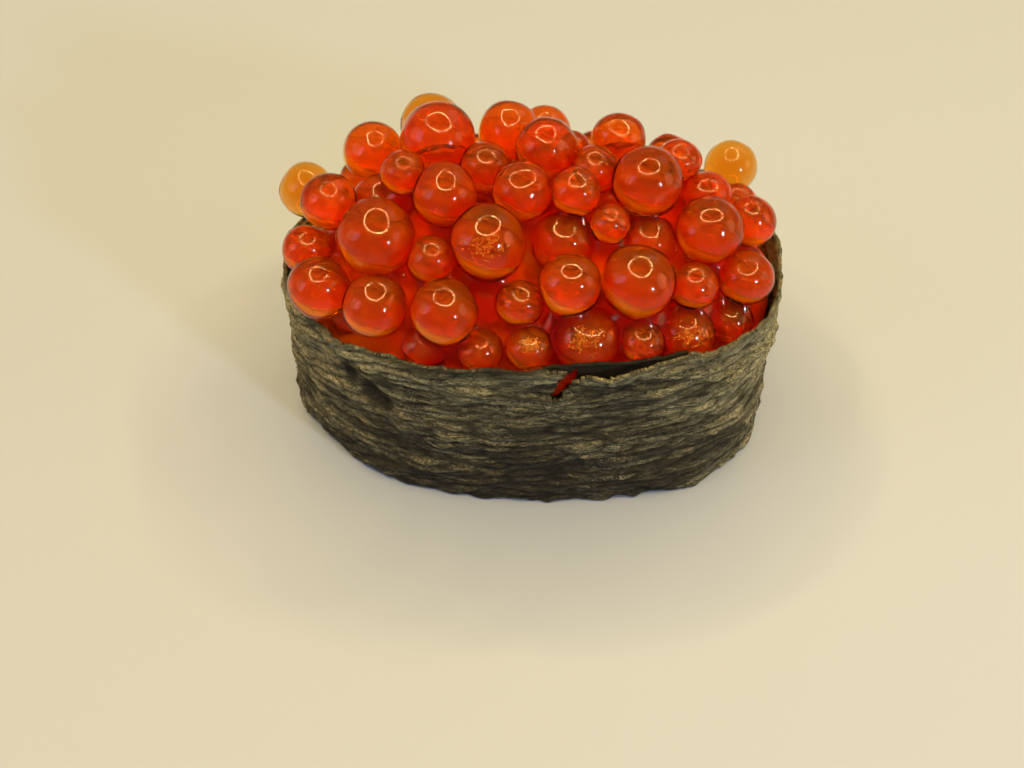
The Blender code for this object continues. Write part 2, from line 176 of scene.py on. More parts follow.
def ball_grid(around, down):
    """Unit ball as a grid of turn and tilt, with one point at each pole, and its faces, pointing out."""
    tilt = np.pi * np.arange(1, down) / down
    turn = 2 * np.pi * np.arange(around) / around
    tilt, turn = np.meshgrid(tilt, turn, indexing="ij")
    rings = np.stack([np.sin(tilt) * np.cos(turn), np.sin(tilt) * np.sin(turn), np.cos(tilt)], axis=-1)
    corners = np.vstack([rings.reshape(-1, 3), [[0, 0, 1], [0, 0, -1]]])
    index = np.arange((down - 1) * around).reshape(down - 1, around)
    after = np.roll(index, -1, axis=1)
    walls = np.stack([index[:-1], index[1:], after[1:], after[:-1]], axis=-1).reshape(-1, 4)
    top = np.full(around, len(corners) - 2)
    caps = np.vstack([np.stack([top, index[0], after[0]], axis=-1),
                      np.stack([top + 1, after[-1], index[-1]], axis=-1)])
    return corners, walls, caps


def copies_of(corners, walls, caps, count):
    """Faces of a number of copies of one shape whose corners follow one another."""
    shift = (np.arange(count) * len(corners))[:, None, None]
    return (walls[None] + shift).reshape(-1, 4), (caps[None] + shift).reshape(-1, 3)


def turned(bodies, angle, first, second):
    """Bodies turned, each by its own angle, so that their first axis goes towards their second."""
    cosine, sine = np.cos(angle)[:, None], np.sin(angle)[:, None]
    result = bodies.copy()
    result[..., first] = bodies[..., first] * cosine - bodies[..., second] * sine
    result[..., second] = bodies[..., first] * sine + bodies[..., second] * cosine
    return result


def rice_grains():
    """Two layers of grains. Each is a ball stretched to a grain, thinned towards its ends as 1 - s y^4. It is
    turned and tilted at random, or lies along the rim beside it. What is below the ground is pressed flat.
    """
    draw = np.random.default_rng(5)
    unit, walls, caps = ball_grid(*GRAIN_STEPS)
    columns, rows = np.meshgrid(np.arange(-8, 9), np.arange(-9, 10))
    spots = []
    for layer, (pitch, height) in enumerate(GRAIN_LAYERS):
        x = (columns + 0.5 * (rows % 2) + 0.25 * layer) * pitch * GRAIN_SPACING[0]
        y = (rows + 0.5 * layer) * pitch * GRAIN_SPACING[1]
        spots.append(np.stack([x.ravel(), y.ravel(), np.full(x.size, height)], axis=1))
    spots = np.vstack(spots)
    spots += draw.uniform(-1, 1, spots.shape) * GRAIN_STRAY
    depth, nearest = depth_in(spots[:, :2], PLAN)
    inside = depth > GRAIN_INSET
    spots, depth, nearest = spots[inside], depth[inside], nearest[inside]
    turn = draw.uniform(0, np.pi, len(spots))
    turn = np.where(depth < RIM_GRAIN_INSET, np.arctan2(PLAN_OUT[nearest, 1], PLAN_OUT[nearest, 0]), turn)
    tilt = draw.uniform(-GRAIN_TILT, GRAIN_TILT, len(spots))
    size = draw.uniform(*GRAIN_SIZES, (len(spots), 3)) * (GRAIN_WIDTH, GRAIN_LENGTH, GRAIN_THICKNESS) / 2
    slim = 1 - GRAIN_TAPER * unit[:, 1] ** 4
    bodies = unit * np.stack([slim, np.ones(len(unit)), slim], axis=1) * size[:, None, :]
    corners = turned(turned(bodies, tilt, 1, 2), turn, 0, 1) + spots[:, None, :]
    corners[..., 2] = np.maximum(corners[..., 2], ABOVE_GROUND)
    return corners.reshape(-1, 3), copies_of(unit, walls, caps, len(spots))


def lidded(loops):
    """Closed surface through loops of points, with a fan of faces over each end."""
    count = loops.shape[1]
    corners = np.vstack([loops.reshape(-1, 3), loops[0].mean(axis=0), loops[-1].mean(axis=0)])
    index = np.arange(loops.shape[0] * count).reshape(-1, count)
    after = np.roll(index, -1, axis=1)
    walls = np.stack([index[:-1], after[:-1], after[1:], index[1:]], axis=-1).reshape(-1, 4)
    foot, head = np.full(count, len(corners) - 2), np.full(count, len(corners) - 1)
    caps = np.vstack([np.stack([foot, after[0], index[0]], axis=-1),
                      np.stack([head, index[-1], after[-1]], axis=-1)])
    return corners, (walls, caps)


def rice_block():
    """Body of the block: the band's plan drawn in, with rounded edges, from above the grains to its top."""
    loops = [np.column_stack([on_plan(PLAN_ALONG, np.full(PLAN_POINTS, depth)), np.full(PLAN_POINTS, height)])
             for depth, height in BLOCK_SECTIONS]
    return lidded(np.array(loops))


# Cooked rice: starchy, wet and slightly clear, so light bleeds a little way into each grain. Its cloudy spots
# are about 1.1 mm across, and the starch's grit is 0.4 mm, coarser than real, so that it shows
CLOUDS_PER_MM = 0.9
GRIT_PER_MM = 2.6
GRIT_DEPTH = 0.08
BLEED = (0.9, 0.75, 0.55)

cooked_rice, tree = new_finish("cooked_rice")
place = node(tree, "ShaderNodeTexCoord").outputs["Object"]
cloud = node(tree, "ShaderNodeTexNoise", Vector=place, Scale=CLOUDS_PER_MM * 1000, Detail=2.0).outputs["Fac"]
white = node(tree, "ShaderNodeMix", {"data_type": "RGBA"}, _0=cloud, _6=tone("f1eee2"), _7=tone("dcd6c2"))
grit = node(tree, "ShaderNodeTexNoise", Vector=place, Scale=GRIT_PER_MM * 1000, Detail=3.0).outputs["Fac"]
bumps = node(tree, "ShaderNodeBump", Height=grit, Strength=0.25, Distance=GRIT_DEPTH * 0.001)
shader = node(tree, "ShaderNodeBsdfPrincipled", Base_Color=white.outputs[2], Roughness=0.32, IOR=1.4,
              Subsurface_Weight=0.35, Subsurface_Radius=BLEED, Subsurface_Scale=0.001,
              Normal=bumps.outputs["Normal"])
node(tree, "ShaderNodeOutputMaterial", Surface=shader.outputs["BSDF"])

grains = piece_from("rice_grains", *rice_grains(), cooked_rice)
block = piece_from("rice_block", *rice_block(), cooked_rice)
for piece in (grains, block):
    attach(piece, "root")
    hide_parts("rice")

# Band of dried seaweed
# A strip of pressed and toasted seaweed 20 mm high, set upright round the rice, its ends lapped at the back.
# It is olive black, 0.3 mm thick and crinkled, with fibres along it, a ragged rim and a torn notch in front.

# Outline: the rim's height, tilt and wave, the foot with a rise at the front left, and the lap
BAND_RIM = 19.3
RIM_TILT = 1.1
RIM_HIGHEST_TURN = 5.76
RIM_WAVE = 0.25
RIM_WAVES = ((3, 0.4, 0.6), (8, 2.0, 0.4))
BAND_FOOT = 0.3
FOOT_RISE = 0.8
FOOT_RISE_AT = 73.0
FOOT_RISE_WIDTH = 4.5
LAP_WIDTH = 8.0
LAP_RAMP = 5.0
LAP_STEP = 0.85
LAP_START = 27.0
SHEET = 0.32
SHEET_DEPTH = 0.36
BAND_GRID = (530, 88)

# Crinkles: the seed and number of their waves, and the length of these along the strip and up it
RAGS = (3, 24, 2.2, 9.0)
FINE_RAGS = (4, 24, 0.8, 9.0)
FOOT_RAGS = (8, 16, 5.0, 9.0)
FOLDS = (13, 24, 13.0, 6.0)
CREASES = (11, 40, 8.0, 2.1)
FINE_CREASES = (12, 50, 3.0, 1.0)
RAG_DEPTH = 0.10
FINE_RAG_DEPTH = 0.07
FOOT_RAG_DEPTH = 0.12
FOLD_DEPTH = 0.14
CREASE_DEPTH = 0.30
FINE_CREASE_DEPTH = 0.13
CREASE_SLANT = 0.06
FINE_CREASE_SLANT = 0.10
# Painted shade down in the creases: how wide it is on the crease waves, and how strong on the fine ones
CREASE_SHADE = 0.32
FINE_CREASE_SHADE = 0.3
FINE_CREASE_PAINTED_SHADE = 0.6
LAP_CRINKLES = 0.3
# Painted shade along the rim's top edge: how strong, from what share of the height, and over what share it
# grows
RIM_PAINTED_SHADE = 0.8
RIM_PAINTED_SHADE_FROM = 0.97
RIM_PAINTED_SHADE_OVER = 0.02

# Dents: distance along the band, height and size of each
DENTS = ((78.2, 14.6, 0.9), (80.6, 13.0, 1.1), (82.2, 12.0, 0.8))
DENT_DEPTH = 0.6
DENT_TALLER = 1.5
# Painted shade in the dents, which lie in shadow
DENT_PAINTED_SHADE = 1.15

# Tear: its tip, and each edge as distances to the right of the tip and heights above it
TEAR_TIP = (1.4, 16.0)
TEAR_LEFT = ((0.0, 0.8, 1.0, 1.7, 2.2), (0.0, 1.1, 2.6, 3.9, 5.5))
TEAR_RIGHT = ((0.0, 1.1, 2.5, 3.3, 7.4, 11.0), (0.0, 0.4, 2.35, 3.2, 3.9, 4.6))

# Right of the tear the sheet leans out
LEAN = 0.8
LEAN_RISE = 4.0
LEAN_AT = 5.0
LEAN_WIDTH = 4.0

# Tucked layer behind the tear, and the hole in it, told by heights above the tear's right edge
TUCKED_FRONT = -8.0
TUCKED_SPAN = (1.0, 14.5)
TUCKED_FOOT = 15.2
TUCKED_BELOW_RIM = 0.15
TUCKED_CORNER = (3.0, 0.5)
TUCKED_RAGS = (15, 12, 1.2, 9.0)
TUCKED_RAG_DEPTH = 0.08
TUCKED_CRUMPLES = (16, 20, 2.0, 1.2)
TUCKED_CRUMPLE_DEPTH = 0.07
TUCKED_DEPTH = 0.9
# Painted shade over the tucked layer, which lies in shadow behind the sheet
TUCKED_PAINTED_SHADE = 1.25
TUCKED_GRID = (90, 36)
HOLE_HEIGHTS = (-0.8, 1.3)
HOLE_FALL = 0.35
HOLE_MIDDLE = 1.6
HOLE_END = 2.8


def rim_height(along):
    """Top edge of the band: a tilted plane with a gentle wave."""
    turn = 2 * np.pi * np.asarray(along) / AROUND
    wave = sum(share * np.sin(cycles * turn + phase) for cycles, phase, share in RIM_WAVES)
    return BAND_RIM + RIM_TILT * np.cos(turn - RIM_HIGHEST_TURN) + RIM_WAVE * wave


def eased(share):
    """Smooth step from 0 to 1: 3 s^2 - 2 s^3."""
    share = np.clip(share, 0, 1)
    return share * share * (3 - 2 * share)


def lap_depth(along):
    """How far the inner layer of the lap stands in from the outline, easing out past each end of the lap."""
    past = (along - LAP_START) % AROUND
    leaving, coming = eased((past - LAP_WIDTH) / LAP_RAMP), eased((AROUND - past) / LAP_RAMP)
    return LAP_STEP * (1 - np.minimum(leaving, coming))


def ripples(along, up, seed, count, length, height):
    """Sum of sine waves with random directions and phases, scaled to about -1 to 1: their wavelengths are
    around the given length along the band and the given height up it.
    """
    draw = np.random.default_rng(seed)
    total = np.zeros(np.shape(along))
    for _ in range(count):
        a = 2 * np.pi / length * draw.normal(0, 0.8)
        b = 2 * np.pi / height * draw.uniform(0.4, 1.5) * draw.choice((-1, 1))
        total = total + np.sin(a * along + b * up + draw.uniform(0, 2 * np.pi))
    return total / np.sqrt(count)


def over_tear(spots):
    """Distance of points to the right of the tear's tip and height above it, and whether each is in the tear:
    right of its left edge, which climbs steeply, and above its right edge, which climbs ever more gently.
    """
    right, lift = spots[..., 0] - TEAR_TIP[0], spots[..., 2] - TEAR_TIP[1]
    torn = (spots[..., 1] < 0) & (right > np.interp(lift, *TEAR_LEFT[::-1])) & (right < TEAR_RIGHT[0][-1])
    return right, lift, torn & (lift > np.interp(right, *TEAR_RIGHT))


def grid_faces(columns, rows):
    """Four-sided faces of a grid whose corners follow one another row after row, pointing out."""
    index = np.arange(columns * rows).reshape(columns, rows)
    quads = np.stack([index[:-1, :-1], index[1:, :-1], index[1:, 1:], index[:-1, 1:]], axis=-1)
    return quads.reshape(-1, 4)


def band_sheet():
    """The strip as a grid of distance along it and height, set in from the outline by its crinkles, which are
    sums of waves: broad folds, and creases that are sharp at the bottom, as |f|. Dents are bells pressed in.
    Right of the tear it leans out, and faces in the tear are left out. Also each corner's painted shade,
    which
    darkens its colour: how far down it is in a crease, as exp(-(f / w)^2), or in a dent, or on the rim.
    """
    columns, rows = BAND_GRID
    strip, share = np.meshgrid(np.linspace(0, AROUND + LAP_WIDTH, columns), np.linspace(0, 1, rows),
                               indexing="ij")
    along = (LAP_START + strip) % AROUND
    ragged = RAG_DEPTH * ripples(strip, 0, *RAGS) + FINE_RAG_DEPTH * ripples(strip, 0, *FINE_RAGS)
    foot = BAND_FOOT + FOOT_RAG_DEPTH * np.abs(ripples(strip, 0, *FOOT_RAGS))
    foot = foot + FOOT_RISE * np.exp(-((along - FOOT_RISE_AT) / FOOT_RISE_WIDTH) ** 2)
    height = foot + share * (rim_height(along) + ragged - foot)
    inner = np.where(strip < LAP_WIDTH + LAP_RAMP, lap_depth(along), 0.0)
    fold = ripples(strip, height, *FOLDS)
    crease_and_painted_shade = ripples(strip, height - CREASE_SLANT * strip, *CREASES)
    fine = ripples(strip, height + FINE_CREASE_SLANT * strip, *FINE_CREASES)
    flatter = (np.clip(strip / LAP_WIDTH - 1, LAP_CRINKLES, 1)
               * np.clip((AROUND - strip) / LAP_WIDTH, LAP_CRINKLES, 1))
    crinkle = FOLD_DEPTH * fold - CREASE_DEPTH * np.abs(crease_and_painted_shade) - FINE_CREASE_DEPTH * np.abs(fine)
    dent = sum(np.exp(-((along - at) / size) ** 2 - ((height - up) / (DENT_TALLER * size)) ** 2)
               for at, up, size in DENTS)
    depth = inner + SHEET_DEPTH + crinkle * flatter + DENT_DEPTH * dent
    flat = on_plan(along, depth)
    right, lift, _ = over_tear(np.concatenate([flat, height[..., None]], axis=-1))
    lean = LEAN * np.clip(lift / LEAN_RISE, 0, 1) ** 2 * np.exp(-((right - LEAN_AT) / LEAN_WIDTH) ** 2)
    lean = lean * (right > 0) * (flat[..., 1] < 0)
    corners = np.concatenate([on_plan(along, depth - lean), height[..., None]], axis=-1).reshape(-1, 3)
    quads = grid_faces(columns, rows)
    _, _, torn = over_tear(corners[quads].mean(axis=1))
    # Painted shade, which darkens the colour in the creases, in the dents and on the rim top
    painted_shades = (np.exp(-(crease_and_painted_shade / CREASE_SHADE) ** 2),
              FINE_CREASE_PAINTED_SHADE * np.exp(-(fine / FINE_CREASE_SHADE) ** 2),
              RIM_PAINTED_SHADE * np.clip((share - RIM_PAINTED_SHADE_FROM) / RIM_PAINTED_SHADE_OVER, 0, 1),
              DENT_PAINTED_SHADE * np.clip(2 * dent, 0, 1))
    spread = np.stack([strip, height], axis=-1).reshape(-1, 2)
    return corners, quads[~torn], spread, np.max(painted_shades, axis=0).ravel()


def tucked_layer():
    """The torn edge left of the tear, which runs on behind the sheet to the right: a crumpled grid, set in,
    with a hole along the tear's right edge, and painted shade over all of it, as it lies in shadow.
    """
    x, share = np.meshgrid(np.linspace(*TUCKED_SPAN, TUCKED_GRID[0]), np.linspace(0, 1, TUCKED_GRID[1]),
                           indexing="ij")
    front = np.flatnonzero(PLAN[:, 1] < TUCKED_FRONT)
    along = np.interp(x, PLAN[front, 0], PLAN_ALONG[front])
    corner_at, corner_fall = TUCKED_CORNER
    top = rim_height(along) - TUCKED_BELOW_RIM - corner_fall * np.clip(corner_at - x, 0, 1)
    top = top + TUCKED_RAG_DEPTH * ripples(x, 0, *TUCKED_RAGS)
    height = TUCKED_FOOT + share * (top - TUCKED_FOOT)
    depth = TUCKED_DEPTH + TUCKED_CRUMPLE_DEPTH * ripples(x, height, *TUCKED_CRUMPLES)
    corners = np.concatenate([on_plan(along, depth), height[..., None]], axis=-1).reshape(-1, 3)
    quads = grid_faces(*TUCKED_GRID)
    right, lift, _ = over_tear(corners[quads].mean(axis=1))
    above = lift - np.interp(right, *TEAR_RIGHT)
    bottom, top = HOLE_HEIGHTS
    hole = (above > bottom) & (above < top - HOLE_FALL * np.abs(right - HOLE_MIDDLE)) & (right < HOLE_END)
    spread = np.stack([along, height], axis=-1).reshape(-1, 2)
    return corners, quads[~hole], spread, np.full(len(corners), TUCKED_PAINTED_SHADE)


# Toasted seaweed: a paper of pressed fronds, so it is faintly glossy, olive black with khaki fibres. Painted
# shade darkens its wrinkles, creases, dents and rim top, and painted light makes it paler towards its top and
# ends. Each pattern has its repeats in a millimetre along the strip and up it, then its detail, roughness
# and distortion. Fibres are 0.3 mm wide, coarser than real, so that they show
SEAWEED_PATTERNS = {
    "streaks": ((0.34, 1.25, 1.0), 8.0, 0.74, 1.6),
    "wrinkles_and_painted_shade": ((0.06, 0.42, 1.0), 6.0, 0.68, 1.5),
    "patches": ((0.08, 0.14, 1.0), 3.0, 0.55, 0.0),
    "fibres": ((1.5, 3.4, 1.0), 6.0, 0.75, 2.2),
}
# Painted light: the seaweed is painted paler towards the top of the band and towards its ends, where lamps
# light it; the heights, and the distances from the middle, over which it grows
PAINTED_LIGHT_HEIGHTS = (2.0, 19.0)
PAINTED_LIGHT_ENDS = (11.0, 22.0)

toasted_seaweed, tree = new_finish("toasted_seaweed")
spread = node(tree, "ShaderNodeUVMap", {"uv_map": "strip"}).outputs["UV"]
pattern = {}
for name, (repeats, detail, roughness, distortion) in SEAWEED_PATTERNS.items():
    place = node(tree, "ShaderNodeMapping", Vector=spread, Scale=repeats).outputs["Vector"]
    pattern[name] = node(tree, "ShaderNodeTexNoise", Vector=place, Scale=1.0, Detail=detail,
                         Roughness=roughness, Distortion=distortion).outputs["Fac"]
up = node(tree, "ShaderNodeSeparateXYZ", Vector=spread).outputs["Y"]
painted_light_up = node(tree, "ShaderNodeMapRange", Value=up, From_Min=PAINTED_LIGHT_HEIGHTS[0], From_Max=PAINTED_LIGHT_HEIGHTS[1],
               To_Min=-0.07, To_Max=0.07)
place = node(tree, "ShaderNodeTexCoord").outputs["Object"]
across = node(tree, "ShaderNodeSeparateXYZ", Vector=place).outputs["X"]
from_middle = node(tree, "ShaderNodeMath", {"operation": "ABSOLUTE"}, _0=across).outputs["Value"]
painted_light_to_ends = node(tree, "ShaderNodeMapRange", Value=from_middle, From_Min=PAINTED_LIGHT_ENDS[0] * 0.001,
               From_Max=PAINTED_LIGHT_ENDS[1] * 0.001, To_Max=0.09)
# Painted light, paler towards the top and the ends
painted_light = node(tree, "ShaderNodeMath", {"operation": "ADD"}, _0=painted_light_up.outputs["Result"],
             _1=painted_light_to_ends.outputs["Result"]).outputs["Value"]
streaks = node(tree, "ShaderNodeMath", {"operation": "ADD"}, _0=pattern["streaks"], _1=painted_light).outputs["Value"]
wrinkles_and_painted_shade = node(tree, "ShaderNodeMath", {"operation": "ADD"}, _0=pattern["wrinkles_and_painted_shade"],
                _1=painted_light).outputs["Value"]
crease_and_painted_shade = node(tree, "ShaderNodeAttribute", {"attribute_name": "crease_and_painted_shade"}).outputs["Fac"]

# Colours laid over each other: each covers those before it as its pattern goes from the first value to the
# second, up to a greatest share
SEAWEED_COLOURS = (
    (streaks, 0.42, 0.60, 1.0, "b0b08e"),
    (pattern["patches"], 0.45, 0.7, 0.6, "7e7c5c"),
    (pattern["fibres"], 0.52, 0.64, 1.0, "d6d2b2"),
    (pattern["fibres"], 0.49, 0.41, 0.9, "161512"),
    # Painted shade in the wrinkles, lifted by the painted light towards the top and the ends
    (wrinkles_and_painted_shade, 0.60, 0.43, 0.9, "1b1913"),
    # Painted shade: near black in the creases and dents, on the rim top and over the tucked layer
    (crease_and_painted_shade, 0.0, 1.25, 1.0, "0e0d0b"),
)
base = tone("181713")
for source, start, end, most, colour in SEAWEED_COLOURS:
    share = node(tree, "ShaderNodeMapRange", Value=source, From_Min=start, From_Max=end, To_Max=most)
    base = node(tree, "ShaderNodeMix", {"data_type": "RGBA"}, _0=share.outputs["Result"], _6=base,
                _7=tone(colour)).outputs[2]

FIBRE_BUMP = 0.4
STREAK_BUMP = 0.9
WRINKLE_BUMP = 1.6
bumps = node(tree, "ShaderNodeBump", Height=pattern["fibres"], Strength=0.8, Distance=FIBRE_BUMP * 0.001)
bumps = node(tree, "ShaderNodeBump", Height=pattern["streaks"], Strength=0.8, Distance=STREAK_BUMP * 0.001,
             Normal=bumps.outputs["Normal"])
bumps = node(tree, "ShaderNodeBump", Height=pattern["wrinkles_and_painted_shade"], Strength=0.9, Distance=WRINKLE_BUMP * 0.001,
             Normal=bumps.outputs["Normal"])
dull = node(tree, "ShaderNodeMapRange", Value=crease_and_painted_shade, To_Min=0.45, To_Max=0.85).outputs["Result"]
shader = node(tree, "ShaderNodeBsdfPrincipled", Base_Color=base, Roughness=dull, IOR=1.45,
              Normal=bumps.outputs["Normal"])
node(tree, "ShaderNodeOutputMaterial", Surface=shader.outputs["BSDF"])

sheet, tucked = band_sheet(), tucked_layer()
band = piece_from("seaweed_band", np.vstack([sheet[0], tucked[0]]), [sheet[1], tucked[1] + len(sheet[0])],
                  toasted_seaweed)
loops = np.empty(len(band.data.loops), dtype=np.int32)
band.data.loops.foreach_get("vertex_index", loops)
band.data.uv_layers.new(name="strip").data.foreach_set(
    "uv", np.vstack([sheet[2], tucked[2]])[loops].astype(np.float32).ravel())
band.data.attributes.new("crease_and_painted_shade", "FLOAT", "POINT").data.foreach_set(
    "value", np.concatenate([sheet[3], tucked[3]]).astype(np.float32))
wall = band.modifiers.new("sheet", "SOLIDIFY")
wall.thickness = SHEET * 0.001
wall.offset = -1.0
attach(band, "root")
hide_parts("nori")

# Salmon eggs
# Some sixty eggs show, each a thin clear skin 4 to 7 mm across, full of orange-red gel and wet with juice.
# They are heaped loose inside the band and over its rim, and press each other a little flat where they touch.

# Room left for the sheet and beside it
EGG_TO_BAND = 0.3
SHEET_ROOM = 0.76

# Heap: where its crest is, and how it falls to the front, the back and the ends
CREST_HEIGHT = 29.0
CREST_Y = 3.0
CREST_FALL = 0.0375
END_FALL = 5.5
END_FALL_AT = 22.0
BACK_SLOPE_Y = 7.0
BACK_SLOPE = 1.15

# Rows bow back towards their ends, as the rim does
ROW_BOW = 3.8
ROW_BOW_AT = 20.0

# Rows of eggs from the front rim back: y of the row, its height above the heap, x and diameter of each
EGG_ROWS = (
    (-13.3, 0.0, ((-9.8, 4.5), (-4.8, 4.3), (10.5, 4.2), (14.5, 5.8))),
    (-12.5, 0.0, ((-0.2, 4.5), (5.2, 6.7), (18.9, 4.6))),
    (-11.0, 0.0, ((-14.2, 6.0), (-8.0, 6.3))),
    (-9.9, 0.0, ((-19.6, 5.8), (-0.6, 4.5), (14.8, 4.5), (19.7, 5.2))),
    (-8.6, 0.0, ((3.2, 5.9), (9.9, 6.9))),
    (-7.3, 0.0, ((-20.8, 4.8), (-9.2, 4.5))),
    (-6.0, 0.0, ((-13.7, 7.3), (10.8, 5.6))),
    (-5.3, 0.0, ((-4.1, 7.0), (3.2, 6.1), (16.3, 6.4))),
    (-4.2, 0.0, ((20.5, 4.9),)),
    (-2.5, 0.0, ((-18.3, 5.4), (-14.2, 6.4))),
    (-1.6, 0.0, ((-7.8, 6.1), (3.8, 4.7), (16.3, 5.1))),
    (-0.8, 0.0, ((-1.1, 5.7), (10.4, 6.7))),
    (0.1, 0.0, ((-21.4, 5.3), (-11.8, 4.3))),
    (1.6, 0.0, ((-4.1, 5.1), (6.3, 4.6), (14.3, 4.3))),
    (4.4, 0.0, ((1.6, 6.0),)),
    (4.4, 0.8, ((19.7, 5.2),)),
    (5.3, 0.4, ((-15.1, 5.8), (-8.5, 7.3), (8.2, 5.2))),
    (8.8, 1.8, ((-2.0, 6.0),)),
    (11.3, 5.9, ((-9.6, 6.3),)),
    (12.0, 4.4, ((1.5, 5.4),)),
)

# Eggs that fill the hollows between the rows: how deep they may sink, where, and their sizes
FILL_SINKS = (0.4, 1.2, 2.0, 2.8, 4.0, 5.2, 6.4)
FILL_DEEP = 2.8
FILL_EDGE = 4.0
FILL_BELOW_RIM = 1.0
FILL_SINK_COST = 0.5
FILL_GRID = 0.8
FILL_SMALLEST = 3.8
FILL_SWELL = 1.15
FILL_DIAMETERS = (5.8, 4.8, 5.4, 6.2, 5.0)

# Settling: how much larger eggs are taken to be, how close they may come, and how far each step moves them
FACET_SWELL = 1.03
VIEW_ELEVATION = 50.0
EGG_SQUASH = 0.93
SETTLE_STEPS = 160
SINK = 0.3
SPREAD = 0.12
HOLD = 0.05

# Lumps of an egg and the flats where it presses on its neighbours
LUMP_WAVES = 5
LUMP_TURN = 2.6
BETWEEN_EGGS = 0.012
FLAT_EDGE = 0.16
EGG_LUMPS = 0.010
EGG_STEPS = (36, 22)

BAND_INSIDE = on_plan(PLAN_ALONG, SHEET_ROOM + lap_depth(PLAN_ALONG))
BAND_TOP = rim_height(PLAN_ALONG)


def heap_height(x, y):
    """Height of the egg centres over a point in plan: a crest that falls to the front, back and ends."""
    fall = CREST_FALL * (y - CREST_Y) ** 2 + END_FALL * (np.abs(x) / END_FALL_AT) ** 3
    behind = y - BACK_SLOPE_Y
    return CREST_HEIGHT - fall - BACK_SLOPE / 2 * (behind + np.sqrt(behind ** 2 + 1))


def clear_of_band(centres, radii):
    """Move each egg off the band's inner face, or off its rim where the egg lies higher."""
    depth, nearest = depth_in(centres[:, :2], BAND_INSIDE)
    above = np.maximum(centres[:, 2] - BAND_TOP[nearest], 0)
    distance = np.where(above > 0, np.hypot(depth, above), depth)
    short = np.clip(radii + EGG_TO_BAND - distance, 0, None)
    share = np.where(above > 0, np.abs(depth) / np.maximum(distance, 1e-6), 1.0)
    moved = centres.copy()
    moved[:, :2] -= (short * share)[:, None] * PLAN_OUT[nearest]
    moved[:, 2] += short * np.sqrt(1 - share ** 2)
    return moved


def settle(centres, radii):
    """Part the eggs that press on each other: the farther one sinks along the line of sight, both spread a
    little, and each is drawn back to its own place and kept off the band.
    """
    home = centres
    view = np.radians(VIEW_ELEVATION)
    sight = np.array([0.0, np.cos(view), -np.sin(view)])
    reach = (radii[:, None] + radii[None, :]) * EGG_SQUASH
    for _ in range(SETTLE_STEPS):
        apart = centres[:, None, :] - centres[None, :, :]
        distance = np.linalg.norm(apart, axis=2)
        np.fill_diagonal(distance, np.inf)
        press = np.clip(reach - distance, 0, None)
        farther = np.clip(apart @ sight, 0, None) / distance
        sink = (press * np.sqrt(farther)).sum(axis=1)
        spread = (apart * (press / distance)[:, :, None]).sum(axis=1)
        step = SINK * sink[:, None] * sight + SPREAD * spread + HOLD * (home - centres)
        centres = clear_of_band(centres + step, radii)
    return centres


def fill_hollows(centres, radii):
    """Add an egg in the widest hollow of the heap's surface, again and again, until none is wide enough."""
    x, y, sink = np.meshgrid(np.arange(-BAND_LENGTH / 2, BAND_LENGTH / 2, FILL_GRID),
                             np.arange(-BAND_WIDTH / 2, BAND_WIDTH / 2, FILL_GRID), FILL_SINKS)
    x, y, sink = x.ravel(), y.ravel(), sink.ravel()
    spots = np.stack([x, y, heap_height(x, y) - sink], axis=1)
    depth, nearest = depth_in(spots[:, :2], BAND_INSIDE)
    free = (depth > FILL_SMALLEST / 2 + EGG_TO_BAND) & (spots[:, 2] > BAND_TOP[nearest] - FILL_BELOW_RIM)
    free &= (sink <= FILL_DEEP) | (depth < FILL_EDGE)
    spots, cost = spots[free], FILL_SINK_COST * sink[free]
    room = (np.linalg.norm(spots[:, None, :] - centres, axis=2) - radii).min(axis=1)
    while room.max() * FILL_SWELL > FILL_SMALLEST / 2:
        wide = room * FILL_SWELL > FILL_SMALLEST / 2
        best = np.argmax(np.where(wide, room - cost, -np.inf))
        radius = min(room[best] * FILL_SWELL, FILL_DIAMETERS[len(radii) % len(FILL_DIAMETERS)] / 2)
        centres = np.vstack([centres, spots[best]])
        radii = np.append(radii, radius)
        room = np.minimum(room, np.linalg.norm(spots - spots[best], axis=1) - radius)
    return clear_of_band(centres, radii), radii


def heaped_eggs():
    """Centres and radii of the eggs that show: the rows, settled, then an egg in each hollow left."""
    rows = [(x, y + ROW_BOW * (x / ROW_BOW_AT) ** 2, lift, diameter / 2 * FACET_SWELL)
            for y, lift, eggs in EGG_ROWS for x, diameter in eggs]
    x, y, lift, radii = np.array(rows).T
    centres = np.stack([x, y, heap_height(x, y) + lift], axis=1)
    centres, radii = fill_hollows(settle(centres, radii), radii)
    return centres, radii / FACET_SWELL


